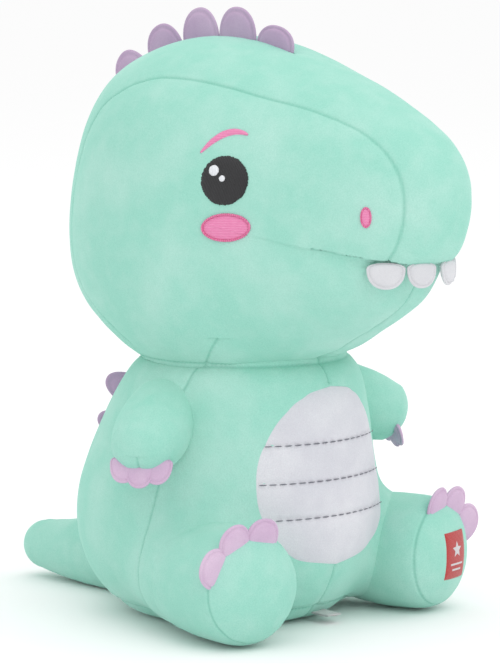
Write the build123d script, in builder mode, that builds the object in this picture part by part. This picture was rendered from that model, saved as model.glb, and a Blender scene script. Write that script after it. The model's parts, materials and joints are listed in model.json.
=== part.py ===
"""Seated plush dinosaur: sewn fabric panels over soft filling, with embroidered trim.

Units are millimetres.  Z is up, the toy faces -Y and its own right side is -X.
The origin is on the floor under the middle of the toy.
"""
from build123d import *
import os
from math import cos, radians, sin

os.makedirs("parts", exist_ok=True)

SIDES = (("right", -1), ("left", 1))

# Fabric and working gaps
FABRIC = 2.0              # pile fabric with its backing
JOINT_GAP = 0.5           # room round each limb root inside its pocket
THREAD = 0.8              # raised height of embroidery
PATCH = 1.2               # thickness of the belly patch
LOBE_THICKNESS = 4.0      # two layers of fabric turned and pressed

# Torso: level rings as (height, centre y, half width, half depth)
TORSO_RINGS = (
    (0.0, 3, 52.0, 51.0),
    (6.0, 4, 65.0, 64.0),
    (22.0, 5, 81.0, 80.0),
    (45.0, 5, 88.0, 87.0),
    (65.0, 4, 88.0, 87.0),
    (90.0, 0, 82.0, 81.0),
    (115.0, -4, 73.0, 72.0),
    (128.0, -7, 58.0, 57.0),
)
BASE_HEIGHT = 7.0         # the base panel turns up the side this far
NECK_CENTRE = (0, -7, 106)
NECK_RADIUS = 74.4
NECK_SEAM_HEIGHT = 151.0

# Head: level rings for the cranium, upright rings for the snout
CRANIUM_RINGS = (
    (NECK_SEAM_HEIGHT, -7, 60.0, 61.0),
    (160.0, -3, 70.0, 73.0),
    (176.0, 2, 79.0, 86.0),
    (200.0, 5, 85.0, 95.0),
    (226.0, 7, 87.0, 98.0),
    (256.0, 7, 85.0, 97.0),
    (286.0, 6, 76.0, 89.0),
    (310.0, 4, 60.0, 73.0),
    (326.0, 2, 38.0, 50.0),
    (334.0, 1, 14.0, 22.0),
)
SNOUT_RINGS = (
    (-40.0, 240, 68.0, 80.0),
    (-86.0, 239, 61.0, 76.0),
    (-120.0, 241, 49.0, 62.0),
    (-142.0, 244, 37.0, 50.0),
    (-158.0, 248, 25.0, 34.0),
    (-168.0, 250, 9.0, 13.0),
)
GUSSET_HALF_WIDTH = 57.0  # at the body axis
GUSSET_TAPER = 10.6       # degrees that each gusset seam closes towards the nose

# Limbs, each a stuffed tube with a round root at its pivot
ARM_PIVOT = (68, -8, 122)
ARM_END = (100, -24, 109)
ARM_RADIUS = 18.0
ARM_TIP_RADIUS = 16.0
ARM_EDGE = 9.0            # how far back the rounding of the tip begins
ARM_POCKET = 28.0         # hollow in the torso that clears the whole travel
LEG_RADIUS = 33.0
LEG_TIP_RADIUS = 32.0
LEG_LENGTH = 50.0
LEG_SPLAY = 12.0
SOLE_CENTRE = (80, -92, LEG_RADIUS + 0.6)
SOLE_EDGE = 10.0
SOLE_BULGE = 4.0
SOLE_SEAM_BACK = 5.0      # the sole is sewn on this far behind the end of the tube
LEG_POCKET = 46.0
TAIL_PIVOT = (0, 78, 31)
TAIL_ROOT_RADIUS = 29.0
TAIL_TIP_RADIUS = 15.0
TAIL_LENGTH = 74.0
TAIL_CAP = 16.0
TAIL_EDGE = 12.0
TAIL_TIP_HEIGHT = 21.0
TAIL_POCKET = 34.0

# Belly patch outline heights and quilting rows as (height, half width)
PATCH_TOP = 138.0
PATCH_BOTTOM = 36.5
PATCH_EDGE = ((29, 128), (47, 106), (51, 78), (40, 45))
BODY_REACH = 130.0
STITCH_ROWS = ((107.0, 45.5), (85.5, 50.0), (65.5, 49.0))
STITCH_WIDTH = 1.4
SIDE_SEAM_Y = 10.0

# Face embroidery on the right of the head
EYE_CENTRE = (-66, -53, 262)
EYE_NORMAL = (-0.80, -0.56, 0.24)
EYE_RADIUS = 13.9
NOSTRIL_CENTRE = (-37, -142, 244)
NOSTRIL_NORMAL = (-0.85, -0.52, 0.0)
NOSTRIL_RADII = (3.4, 5.9)
PAD_REACH = 16.0          # half depth of the cut that carries an outline through the skin

# Eye surroundings, in the eye's own frame: across and up from its centre
LARGE_GLINT = (-5.1, 5.2)
LARGE_GLINT_RADIUS = 3.2
SMALL_GLINT = (0, 0.8)
SMALL_GLINT_RADIUS = 2.0
BROW_BACK = (-14.5, 16.0)
BROW_TOP = (1.0, 29.0)
BROW_FRONT = (12.0, 26.0)
BROW_UNDERSIDE = (0.5, 25.6)
CHEEK = (1.1, -27.0)
CHEEK_RADII = (14.6, 7.9)

# Right teeth as centre under the lip, outward direction, half width, drop
TEETH = {
    "tooth_inner": ((-10.5, -152, 214), (-0.35, -0.94, 0), 9.5, 11.5),
    "tooth_outer": ((-27, -141, 214), (-0.72, -0.69, 0), 11.0, 11.5),
}
TOOTH_THICKNESS = 4.0

# Crest: lobes stand on an ellipse in the middle plane, turns measured from straight up
HEAD_SPIKES = 8
CREST_START = -23.5
CREST_STEP = 18.5
CREST_CENTRE = (7, 236)
CREST_RADII = (98, 98)
SPIKE_HALF_WIDTH = 14.5
SPIKE_HEIGHT = 16.5
BACK_SPIKES = ((60, 135, 6), (69, 117, 12), (77, 95, 11))

# Claws and labels
ARM_CLAW_REACH = 43.0
ARM_CLAW_RADIUS = 7.5
ARM_CLAW_OFFSETS = (-11, 0, 11)
LEG_CLAW_RADIUS = 12.0
CLAW_STEP = 37.0
CLAW_TURN = {"right": -65.0, "left": -115.0}
LABEL_WIDTH = 22.0
LABEL_HEIGHT = 28.0
CARE_LABEL_SPOT = (8, -64, 5)
CARE_LABEL_WIDTH = 11.0
CARE_LABEL_LENGTH = 26.0


def ringed_form(rings, inset, upright=False):
    """Loft one closed body through elliptical rings, each drawn in by the inset."""
    last = len(rings) - 1
    with BuildPart() as form:
        for index, (station, centre, half_x, half_other) in enumerate(rings):
            shift = inset if index == 0 else -inset if index == last else 0
            level = Plane.XY.offset(station + shift)
            with BuildSketch(Plane.XZ.offset(shift - station) if upright else level):
                with Locations((0, centre)):
                    Ellipse(half_x - inset, half_other - inset)
        loft()
    return form.part


def limb_form(plane, root, tip, length, edge, inset):
    """Turn a stuffed limb: a ball at the pivot, a tapering tube and a rounded end."""
    radial = Plane(plane.origin, x_dir=plane.x_dir, z_dir=-plane.y_dir)
    root_radius = root - inset
    tip_radius = tip - inset
    end = length - inset
    with BuildPart() as form:
        with BuildSketch(radial):
            with BuildLine():
                Line((0, end), (0, -root_radius))
                CenterArc((0, 0), root_radius, -90, 90)
                Line((root_radius, 0), (tip_radius, length - edge))
                Spline(
                    (tip_radius, length - edge),
                    (0, end),
                    tangents=((0, 1), (-1, 0)),
                )
            make_face()
        revolve(axis=Axis(plane.origin, plane.z_dir))
    return form.part


def limb_plane(pivot, end):
    """Frame at the pivot: z runs down the limb and a positive turn about x raises it."""
    along = Vector(*end) - Vector(*pivot)
    return Plane(pivot, x_dir=along.cross(Vector(0, 0, 1)), z_dir=along)


def mirrored(point, side):
    return (side * point[0], point[1], point[2])


def save(part, label):
    """Name a finished piece and write its file."""
    part.label = label
    export_step(part, f"parts/{label}.step")


# ---------------------------------------------------------------- limb frames

def arm_plane(side):
    return limb_plane(mirrored(ARM_PIVOT, side), mirrored(ARM_END, side))


def leg_plane(side):
    along = Vector(side * sin(radians(LEG_SPLAY)), -cos(radians(LEG_SPLAY)), 0)
    pivot = Vector(*mirrored(SOLE_CENTRE, side)) - along * LEG_LENGTH
    return Plane(pivot, x_dir=along.cross(Vector(0, 0, 1)), z_dir=along)


def tail_plane():
    end = (0, TAIL_PIVOT[1] + TAIL_LENGTH, TAIL_TIP_HEIGHT)
    return limb_plane(TAIL_PIVOT, end)


def arm_form(side, inset):
    length = (Vector(*ARM_END) - Vector(*ARM_PIVOT)).length + ARM_TIP_RADIUS / 2
    return limb_form(arm_plane(side), ARM_RADIUS, ARM_TIP_RADIUS, length, ARM_EDGE, inset)


def leg_form(side, inset):
    length = LEG_LENGTH + SOLE_BULGE
    return limb_form(leg_plane(side), LEG_RADIUS, LEG_TIP_RADIUS, length, SOLE_EDGE, inset)


def tail_form(inset):
    length = TAIL_LENGTH + TAIL_CAP
    return limb_form(tail_plane(), TAIL_ROOT_RADIUS, TAIL_TIP_RADIUS, length, TAIL_EDGE, inset)


# ---------------------------------------------------------------- body forms

def torso_form(inset):
    """Pear body with a ball top that seats in the hollow under the head."""
    body = ringed_form(TORSO_RINGS, inset)
    with BuildPart() as form:
        add(body)
        with Locations(NECK_CENTRE):
            Sphere(NECK_RADIUS - inset)
    return form.part


def head_form(inset):
    """Round cranium with the snout growing out of its front."""
    cranium = ringed_form(CRANIUM_RINGS, inset)
    snout = ringed_form(SNOUT_RINGS, inset, upright=True)
    with BuildPart() as form:
        add(cranium)
        add(snout)
    return form.part


# ---------------------------------------------------------------- torso

# Each limb sits in a round hollow, wide enough for its whole travel
with BuildPart() as pockets:
    with Locations(*[arm_plane(side).origin for name, side in SIDES]):
        Sphere(ARM_POCKET)
    with Locations(*[leg_plane(side).origin for name, side in SIDES]):
        Sphere(LEG_POCKET)
    with Locations(TAIL_PIVOT):
        Sphere(TAIL_POCKET)

torso_outer = torso_form(0)
torso_inner = torso_form(FABRIC)

with BuildPart() as torso_filling:
    add(torso_inner)
    add(pockets.part, mode=Mode.SUBTRACT)
save(torso_filling.part, "torso_filling")

with BuildPart() as torso_skin:
    add(torso_outer)
    add(torso_inner, mode=Mode.SUBTRACT)
    add(pockets.part, mode=Mode.SUBTRACT)

base_cut = Plane.XY.offset(BASE_HEIGHT)
side_cut = Plane.XZ.offset(-SIDE_SEAM_Y)

with BuildPart() as base_panel:
    add(torso_skin.part)
    split(bisect_by=base_cut, keep=Keep.BOTTOM)
save(base_panel.part, "torso_base_panel")

for face_name, face_keep in (("front", Keep.TOP), ("back", Keep.BOTTOM)):
    for name, side in SIDES:
        with BuildPart() as panel:
            add(torso_skin.part)
            split(bisect_by=base_cut, keep=Keep.TOP)
            split(bisect_by=side_cut, keep=face_keep)
            split(bisect_by=Plane.YZ, keep=Keep.TOP if side > 0 else Keep.BOTTOM)
        save(panel.part, f"torso_{face_name}_{name}_panel")

# Belly patch with its three rows of quilting thread
patch_surface = torso_form(-PATCH)
thread_surface = torso_form(-PATCH - THREAD)

with BuildPart() as belly_patch:
    with BuildSketch(Plane.XZ):
        with BuildLine():
            Spline(
                (0, PATCH_TOP), *PATCH_EDGE, (0, PATCH_BOTTOM),
                tangents=((1, 0), (-1, 0)),
            )
            mirror(about=Plane.YZ)
        make_face()
    extrude(amount=BODY_REACH)
    add(patch_surface, mode=Mode.INTERSECT)
    add(torso_outer, mode=Mode.SUBTRACT)
save(belly_patch.part, "belly_patch")

for row, (height, half_width) in enumerate(STITCH_ROWS, start=1):
    with BuildPart() as stitch_row:
        with Locations((0, -BODY_REACH / 2, height)):
            Box(2 * half_width, BODY_REACH, STITCH_WIDTH)
        add(thread_surface, mode=Mode.INTERSECT)
        add(patch_surface, mode=Mode.SUBTRACT)
    save(stitch_row.part, f"belly_stitch_row_{row}")

# Crest lobes down the back seam
for count, (centre_y, height, radius) in enumerate(BACK_SPIKES, start=1):
    with BuildPart() as spike:
        with BuildSketch(Plane.YZ):
            with Locations((centre_y, height)):
                Circle(radius)
        extrude(amount=LOBE_THICKNESS / 2, both=True)
        add(torso_outer, mode=Mode.SUBTRACT)
    save(spike.part, f"back_spike_{count}")

with BuildPart() as care_label:
    with Locations(CARE_LABEL_SPOT):
        Box(CARE_LABEL_WIDTH, CARE_LABEL_LENGTH, THREAD)
    add(torso_outer, mode=Mode.SUBTRACT)
    split(bisect_by=side_cut, keep=Keep.TOP)
save(care_label.part, "care_label")

# ---------------------------------------------------------------- head

head_outer = head_form(0)
head_inner = head_form(FABRIC)

with BuildPart() as neck_hollow:
    with Locations(NECK_CENTRE):
        Sphere(NECK_RADIUS + JOINT_GAP)

with BuildPart() as head_filling:
    add(head_inner)
    add(neck_hollow.part, mode=Mode.SUBTRACT)
save(head_filling.part, "head_filling")

with BuildPart() as head_skin:
    add(head_outer)
    add(head_inner, mode=Mode.SUBTRACT)
    add(neck_hollow.part, mode=Mode.SUBTRACT)


def gusset_cut(side):
    """Upright plane through one gusset seam, its normal pointing to that side."""
    tilt = radians(GUSSET_TAPER)
    return Plane(
        (side * GUSSET_HALF_WIDTH, 0, 0), x_dir=(0, 0, 1), z_dir=(side * cos(tilt), -sin(tilt), 0)
    )


with BuildPart() as head_gusset:
    add(head_skin.part)
    split(bisect_by=gusset_cut(-1), keep=Keep.BOTTOM)
    split(bisect_by=gusset_cut(1), keep=Keep.BOTTOM)
save(head_gusset.part, "head_gusset")

for name, side in SIDES:
    with BuildPart() as head_side:
        add(head_skin.part)
        split(bisect_by=gusset_cut(side), keep=Keep.TOP)
    save(head_side.part, f"head_side_{name}")

# Embroidery: thin pads that follow the head, drawn on the right and mirrored to the left
head_pad_layers = [head_outer, head_form(-THREAD), head_form(-2 * THREAD)]


def face_plane(centre, normal):
    """Frame on the right of the head: x runs forward, y up, z out of the fabric."""
    out = Vector(*normal)
    return Plane(centre, x_dir=Vector(0, 0, 1).cross(out), z_dir=out)


def embroider(plane, outline, layer):
    """Raise a flat outline as one thread layer above the head."""
    with BuildPart() as pad:
        with BuildSketch(plane):
            add(outline)
        extrude(amount=PAD_REACH, both=True)
        add(head_pad_layers[layer + 1], mode=Mode.INTERSECT)
        add(head_pad_layers[layer], mode=Mode.SUBTRACT)
    return pad.part


def save_pair(part, stem):
    save(part, f"{stem}_right")
    with BuildPart() as other:
        mirror(part, about=Plane.YZ)
    save(other.part, f"{stem}_left")


eye_plane = face_plane(EYE_CENTRE, EYE_NORMAL)
nose_plane = face_plane(NOSTRIL_CENTRE, NOSTRIL_NORMAL)

with BuildSketch() as eye_outline:
    Circle(EYE_RADIUS)
save_pair(embroider(eye_plane, eye_outline.sketch, 0), "eye")

with BuildSketch() as large_glint_outline:
    with Locations(LARGE_GLINT):
        Circle(LARGE_GLINT_RADIUS)
save_pair(embroider(eye_plane, large_glint_outline.sketch, 1), "eye_glint_large")

with BuildSketch() as small_glint_outline:
    with Locations(SMALL_GLINT):
        Circle(SMALL_GLINT_RADIUS)
save_pair(embroider(eye_plane, small_glint_outline.sketch, 1), "eye_glint_small")

with BuildSketch() as brow_outline:
    with BuildLine():
        ThreePointArc(BROW_BACK, BROW_TOP, BROW_FRONT)
        ThreePointArc(BROW_FRONT, BROW_UNDERSIDE, BROW_BACK)
    make_face()
save_pair(embroider(eye_plane, brow_outline.sketch, 0), "brow")

with BuildSketch() as cheek_outline:
    with Locations(CHEEK):
        Ellipse(*CHEEK_RADII)
save_pair(embroider(eye_plane, cheek_outline.sketch, 0), "cheek")

with BuildSketch() as nostril_outline:
    Ellipse(*NOSTRIL_RADII)
save_pair(embroider(nose_plane, nostril_outline.sketch, 0), "nostril")

# Teeth: two turned lobes each side, hanging from under the lip
for stem, (centre, normal, half_width, drop) in TEETH.items():
    tooth_plane = face_plane(centre, normal)
    with BuildPart() as tooth:
        with BuildSketch(tooth_plane):
            Ellipse(half_width, drop)
            with Locations((0, drop)):
                Rectangle(3 * half_width, 2 * drop, mode=Mode.SUBTRACT)
        extrude(amount=TOOTH_THICKNESS)
        add(head_outer, mode=Mode.SUBTRACT)
    save_pair(tooth.part, stem)

# Crest lobes in the seam over the top and down the back of the head
for count in range(HEAD_SPIKES):
    turn = CREST_START + CREST_STEP * count
    foot = (CREST_CENTRE[0] + CREST_RADII[0] * sin(radians(turn)),
            CREST_CENTRE[1] + CREST_RADII[1] * cos(radians(turn)))
    with BuildPart() as spike:
        with BuildSketch(Plane.YZ):
            with Locations(Location((foot[0], foot[1]), -turn)):
                Ellipse(SPIKE_HALF_WIDTH, SPIKE_HEIGHT)
        extrude(amount=LOBE_THICKNESS / 2, both=True)
        add(head_outer, mode=Mode.SUBTRACT)
    save(spike.part, f"head_spike_{count + 1}")

# ---------------------------------------------------------------- arms

for name, side in SIDES:
    plane = arm_plane(side)
    outer = arm_form(side, 0)
    inner = arm_form(side, FABRIC)
    with BuildPart() as arm_panel:
        add(outer)
        add(inner, mode=Mode.SUBTRACT)
    save(arm_panel.part, f"arm_{name}_panel")
    with BuildPart() as arm_filling:
        add(inner)
    save(arm_filling.part, f"arm_{name}_filling")
    with BuildPart() as arm_claws:
        with BuildSketch(Plane(plane.origin, x_dir=plane.x_dir, z_dir=-plane.y_dir)):
            with Locations(*[(offset, ARM_CLAW_REACH) for offset in ARM_CLAW_OFFSETS]):
                Circle(ARM_CLAW_RADIUS)
        extrude(amount=LOBE_THICKNESS / 2, both=True)
        add(outer, mode=Mode.SUBTRACT)
    save(arm_claws.part, f"arm_{name}_claws")

# ---------------------------------------------------------------- legs

for name, side in SIDES:
    plane = leg_plane(side)
    outer = leg_form(side, 0)
    inner = leg_form(side, FABRIC)
    sole_cut = plane.offset(LEG_LENGTH - SOLE_SEAM_BACK)
    with BuildPart() as leg_panel:
        add(outer)
        add(inner, mode=Mode.SUBTRACT)
        split(bisect_by=sole_cut, keep=Keep.BOTTOM)
    save(leg_panel.part, f"leg_{name}_panel")
    with BuildPart() as sole:
        add(outer)
        add(inner, mode=Mode.SUBTRACT)
        split(bisect_by=sole_cut, keep=Keep.TOP)
    save(sole.part, f"leg_{name}_sole")
    with BuildPart() as leg_filling:
        add(inner)
    save(leg_filling.part, f"leg_{name}_filling")
    with BuildPart() as leg_claws:
        with BuildSketch(plane.offset(LEG_LENGTH - SOLE_SEAM_BACK - LOBE_THICKNESS / 2)):
            for count in (-1, 0, 1):
                around = radians(CLAW_TURN[name] + CLAW_STEP * count)
                with Locations((LEG_RADIUS * cos(around), LEG_RADIUS * sin(around))):
                    Circle(LEG_CLAW_RADIUS)
        extrude(amount=LOBE_THICKNESS)
        add(outer, mode=Mode.SUBTRACT)
    save(leg_claws.part, f"leg_{name}_claws")

# Woven label sewn on the left sole
label_plane = leg_plane(1)
label_surface = leg_form(1, -THREAD)
left_leg = leg_form(1, 0)
with BuildPart() as sole_label:
    with BuildSketch(label_plane.offset(LEG_LENGTH - SOLE_EDGE)):
        Rectangle(LABEL_WIDTH, LABEL_HEIGHT)
    extrude(amount=2 * SOLE_EDGE)
    add(label_surface, mode=Mode.INTERSECT)
    add(left_leg, mode=Mode.SUBTRACT)
save(sole_label.part, "sole_label")

# ---------------------------------------------------------------- tail

tail_outer = tail_form(0)
tail_inner = tail_form(FABRIC)
for name, keep in (("right", Keep.BOTTOM), ("left", Keep.TOP)):
    with BuildPart() as tail_panel:
        add(tail_outer)
        add(tail_inner, mode=Mode.SUBTRACT)
        split(bisect_by=Plane.YZ, keep=keep)
    save(tail_panel.part, f"tail_{name}_panel")
with BuildPart() as tail_filling:
    add(tail_inner)
save(tail_filling.part, "tail_filling")
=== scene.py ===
"""Visible surfaces of the seated plush dinosaur: velour skins, embroidery, lobes, claws and label."""
import bmesh
import bpy
import json
import numpy as np
from math import cos, pi, radians, sin
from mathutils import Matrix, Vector


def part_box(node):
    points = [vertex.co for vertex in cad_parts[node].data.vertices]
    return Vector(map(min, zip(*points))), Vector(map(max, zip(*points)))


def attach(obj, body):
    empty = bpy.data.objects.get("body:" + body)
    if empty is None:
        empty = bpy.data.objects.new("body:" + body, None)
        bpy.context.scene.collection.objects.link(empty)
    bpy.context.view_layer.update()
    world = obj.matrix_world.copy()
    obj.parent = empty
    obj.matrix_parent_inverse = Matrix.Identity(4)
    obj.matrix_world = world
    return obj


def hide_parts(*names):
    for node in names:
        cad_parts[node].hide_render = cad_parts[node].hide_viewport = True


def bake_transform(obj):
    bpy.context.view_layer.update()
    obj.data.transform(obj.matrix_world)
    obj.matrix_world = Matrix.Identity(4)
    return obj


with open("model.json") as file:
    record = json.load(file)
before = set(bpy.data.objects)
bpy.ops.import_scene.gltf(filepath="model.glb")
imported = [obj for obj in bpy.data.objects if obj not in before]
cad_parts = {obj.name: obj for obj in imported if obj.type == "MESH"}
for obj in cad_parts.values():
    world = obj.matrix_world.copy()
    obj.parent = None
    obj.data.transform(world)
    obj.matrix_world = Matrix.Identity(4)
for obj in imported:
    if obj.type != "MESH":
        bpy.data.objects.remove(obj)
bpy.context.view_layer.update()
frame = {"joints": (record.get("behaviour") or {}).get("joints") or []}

MM = 0.001
DETAIL = 1.0
UP = np.array([0.0, 0.0, 1.0])
SIDES = (("right", -1), ("left", 1))
SEAM_STITCH = 2.6          # machine stitch of the hidden seams
FAR_FROM_SEAM = 99.0       # answer of a seam where it isn't sewn


# ------------------------------------------------------------------ frame, in millimetres

def node_box(*nodes):
    """Lowest and highest corner over some CAD nodes, in millimetres."""
    boxes = [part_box(node) for node in nodes]
    low = np.min([b[0] for b in boxes], axis=0) / MM
    high = np.max([b[1] for b in boxes], axis=0) / MM
    return low, high


def joint_pivot(name):
    """Where a joint turns, in millimetres."""
    joint = next(j for j in frame["joints"] if j["name"] == name)
    return np.array(joint["pos_m"]) / MM


def unit(vector):
    vector = np.asarray(vector, float)
    return vector / np.linalg.norm(vector)


def from_box(node):
    """Middle of a CAD node's box."""
    low, high = node_box(node)
    return (low + high) / 2


NECK_Z = node_box("head_gusset", "head_side_right", "head_side_left")[0][2]


# ------------------------------------------------------------------ meshes from closed fields

def cube_sphere(divisions):
    """Directions and quads of a cube blown up to a sphere, its edges shared."""
    steps = np.tan(np.linspace(-pi / 4, pi / 4, divisions + 1))
    u, v = np.meshgrid(steps, steps, indexing="ij")
    one = np.ones_like(u)
    sides = [(one, u, v), (-one, v, u), (v, one, u), (u, -one, v), (u, v, one), (v, u, -one)]
    points = np.concatenate([np.stack(s, -1).reshape(-1, 3) for s in sides])
    size = divisions + 1
    index = np.arange(size * size).reshape(size, size)
    quad = np.stack([index[:-1, :-1], index[1:, :-1], index[1:, 1:], index[:-1, 1:]], -1).reshape(-1, 4)
    quads = np.concatenate([quad + side * size * size for side in range(6)])
    keys = np.round(points * 1e5).astype(np.int64)
    _, first, back = np.unique(keys, axis=0, return_index=True, return_inverse=True)
    points = points[first]
    return points / np.linalg.norm(points, axis=1)[:, None], back.reshape(-1)[quads]


def meet(field, start, direction, near, far):
    """Where each ray from start first has field = 0 between near (inside) and far (outside)."""
    inside = np.full(len(direction), float(near))
    outside = np.full(len(direction), float(far))
    for _ in range(22):
        middle = (inside + outside) / 2
        out = field(start + direction * middle[:, None]) > 0
        outside = np.where(out, middle, outside)
        inside = np.where(out, inside, middle)
    return start + direction * ((inside + outside) / 2)[:, None]


def normals_of(field, points, step=0.6):
    slopes = []
    for axis in range(3):
        shift = np.zeros(3)
        shift[axis] = step
        slopes.append(field(points + shift) - field(points - shift))
    slope = np.stack(slopes, -1)
    return slope / (np.linalg.norm(slope, axis=1)[:, None] + 1e-12)


def mesh_object(name, points, faces, uv=None, seam=None):
    mesh = bpy.data.meshes.new(name)
    mesh.from_pydata((points * MM).tolist(), [], [list(f) for f in faces])
    mesh.validate()
    mesh.shade_smooth()
    if uv is not None:
        layer = mesh.uv_layers.new(name="cloth")
        loops = np.zeros(len(mesh.loops), np.int64)
        mesh.loops.foreach_get("vertex_index", loops)
        layer.data.foreach_set("uv", (uv[loops] * MM).astype(np.float32).ravel())
    if seam is not None:
        layer = mesh.attributes.new("seam", "FLOAT", "POINT")
        layer.data.foreach_set("value", seam.astype(np.float32))
    item = bpy.data.objects.new(name, mesh)
    bpy.context.scene.collection.objects.link(item)
    return item


def ripple(points, size, seed):
    """Slow smooth variation from -1 to 1, for the unevenness of stuffing."""
    rng = np.random.default_rng(seed)
    total = np.zeros(len(points))
    for _ in range(7):
        wave = rng.normal(size=3)
        wave = wave / np.linalg.norm(wave) * 2 * pi / (size * rng.uniform(0.7, 1.5))
        total += np.sin(points @ wave + rng.uniform(0, 2 * pi))
    return total / 7


def stuffed(name, field, centre, reach, divisions, seams, seed, lumps=0.7, sharp=0.7, soft=0.7):
    """A stuffed skin: the field's surface, drawn in and puckered along each seam, with a mask of painted
    shade along the seam creases.
    """
    directions, quads = cube_sphere(int(divisions * DETAIL))
    centre = np.asarray(centre, float)
    points = meet(field, centre, directions, 0, reach)
    out = normals_of(field, points)
    drop = -lumps * ripple(points, 55, seed)
    seam_shade = np.zeros(len(points))
    for seam in seams:
        away, along = seam(points)
        pucker = 1 + 0.25 * np.sin(2 * pi * along / SEAM_STITCH)
        drop += sharp * np.exp(-((away / 1.0) ** 2)) * pucker
        drop += soft * np.exp(-((away / 5.5) ** 2))
        drop += 0.3 * np.exp(-((away / 9.0) ** 2)) * ripple(points, 11, seed + 1)
        # painted shade: this mask darkens the velour colour along each seam crease
        seam_shade = np.maximum(seam_shade, np.exp(-((away / 0.8) ** 2)))
    return mesh_object(name, points - out * drop[:, None], quads, seam=seam_shade)


# ------------------------------------------------------------------ body shapes

def smooth_table(rows):
    """A curve through (station, value) rows."""
    rows = sorted(rows)
    stations = np.array([r[0] for r in rows], float)
    values = np.array([r[1] for r in rows], float)
    slopes = np.gradient(values, stations)

    def curve(x):
        x = np.clip(x, stations[0], stations[-1])
        k = np.clip(np.searchsorted(stations, x) - 1, 0, len(stations) - 2)
        gap = stations[k + 1] - stations[k]
        t = (x - stations[k]) / gap
        a = values[k] * (1 + 2 * t) * (1 - t) ** 2 + values[k + 1] * t * t * (3 - 2 * t)
        b = slopes[k] * gap * t * (1 - t) ** 2 - slopes[k + 1] * gap * t * t * (1 - t)
        return a + b
    return curve


torso_radius = smooth_table([
    (0, 50), (3, 59), (8, 66.5), (15, 73.5), (25, 80.5), (40, 86), (55, 88), (65, 88), (75, 87),
    (90, 83.5), (107, 79), (124, 73.8), (135, 69.8), (143, 66), (147, 63.5), (151, 60), (158, 57),
])
torso_lean = smooth_table([(0, 5), (60, 7), (90, 5), (120, -1), (151, -7), (158, -7)])


def smooth_join(first, second, reach):
    """Union of two fields with a fillet of about this reach."""
    share = np.clip(0.5 + 0.5 * (second - first) / reach, 0, 1)
    return second * (1 - share) + first * share - reach * share * (1 - share)


def rod_field(p, start, end, radius):
    start, end = np.asarray(start, float), np.asarray(end, float)
    line = end - start
    t = np.clip((p - start) @ line / (line @ line), 0, 1)
    return np.linalg.norm(p - start - t[:, None] * line, axis=1) - radius


def torso_field(p):
    """Pear body, swelling where the legs and the tail are sewn on."""
    body = np.hypot(p[:, 0], p[:, 1] - torso_lean(p[:, 2])) - torso_radius(p[:, 2])
    for start, end, radius, reach in TORSO_ROOTS:
        body = smooth_join(body, rod_field(p, start, end, radius), reach)
    return np.maximum(np.maximum(body, -p[:, 2]), p[:, 2] - (NECK_Z + 6))


def torso_roots():
    """Start, end, radius and fillet of each swelling under a limb root."""
    roots = []
    for name in ("right", "left"):
        pivot = joint_pivot(f"leg_{name}_lift")
        along = unit([*(from_box(f"leg_{name}_sole") - pivot)[:2], 0])
        roots.append((pivot - along * 14, pivot + along * 8, 30.5, 20.0))
        pivot = joint_pivot(f"arm_{name}_raise")
        along = unit(from_box(f"arm_{name}_panel") - pivot)
        roots.append((pivot - along * 10, pivot - along * 2, 17.0, 9.0))
    pivot = joint_pivot("tail_wag")
    roots.append((pivot - (0, 12, 0), pivot + (0, 10, -3), 24.0, 20.0))
    return roots


TORSO_ROOTS = torso_roots()


# The head's outline in its middle plane as (y, z), read round from the chin
HEAD_HUB = np.array([-25.0, 240.0])
HEAD_OUTLINE = (
    (-7, 128), (-38, 136), (-63, 151), (-81, 159), (-96, 167), (-115, 176.5), (-132, 187), (-142, 197.5),
    (-151, 209), (-160, 221), (-166, 236), (-167.5, 249), (-164.5, 264), (-155, 277.5), (-140, 289),
    (-119, 300), (-86, 313), (-46, 325.5), (-15, 332), (14, 333.5), (44, 327), (74, 311.5), (93, 289),
    (104, 262), (109.5, 235), (109.5, 210), (104, 188), (91, 170), (74, 158), (52, 147), (24, 135),
)
MOUTH_TURN = 192.6
head_width = smooth_table([
    (-175, 50), (-142, 56), (-120, 60), (-86, 67), (-40, 81), (7, 88), (60, 83), (90, 75), (112, 68),
])


def head_reach():
    turns = []
    for y, z in HEAD_OUTLINE:
        turn = np.degrees(np.arctan2(z - HEAD_HUB[1], y - HEAD_HUB[0])) % 360
        turns.append((turn, float(np.hypot(y - HEAD_HUB[0], z - HEAD_HUB[1]))))
    turns.sort()
    wrapped = [(turns[-2][0] - 360, turns[-2][1]), (turns[-1][0] - 360, turns[-1][1])]
    wrapped += turns + [(turns[0][0] + 360, turns[0][1]), (turns[1][0] + 360, turns[1][1])]
    return smooth_table(wrapped)


head_radius = head_reach()


def head_field(p):
    y = p[:, 1] - HEAD_HUB[0]
    z = p[:, 2] - HEAD_HUB[1]
    turn = np.degrees(np.arctan2(z, y)) % 360
    below_lip = turn - MOUTH_TURN
    tuck = np.where(below_lip > 0, np.exp(-np.clip(below_lip, 0, 90) / 13), 0)
    tuck = tuck * (1 / (1 + np.exp(-np.clip(below_lip / 0.35, -40, 40))))
    radius = head_radius(turn) * (1 - 0.062 * tuck)
    share = np.hypot(y, z) / radius
    narrowing = 1 - 0.05 * (p[:, 2] - 236) / 95
    across = np.abs(p[:, 0]) / (head_width(p[:, 1]) * narrowing)
    fullness = across ** 2.25 + share ** 2.6
    return np.maximum((fullness - 1) * 60, (NECK_Z - 5) - p[:, 2])


def capsule_field(pivot, along, stations, radii, tip, flat):
    """A stuffed tube: radii at stations down its length, closed by a round or flat tip."""
    radius_at = smooth_table(list(zip(stations, radii)))
    pivot = np.asarray(pivot, float)
    along = unit(along)

    def field(p):
        offset = p - pivot
        down = offset @ along
        side = offset - down[:, None] * along
        away = np.linalg.norm(side, axis=1)
        body = away - radius_at(down)
        back = np.hypot(away, np.minimum(down, 0)) - radii[0]
        over = down - (tip - flat * (away / radii[-1]) ** 2.5)
        return np.where(down < 0, back, np.maximum(body, over))
    return field


# ------------------------------------------------------------------ limb frames from the joints

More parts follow.
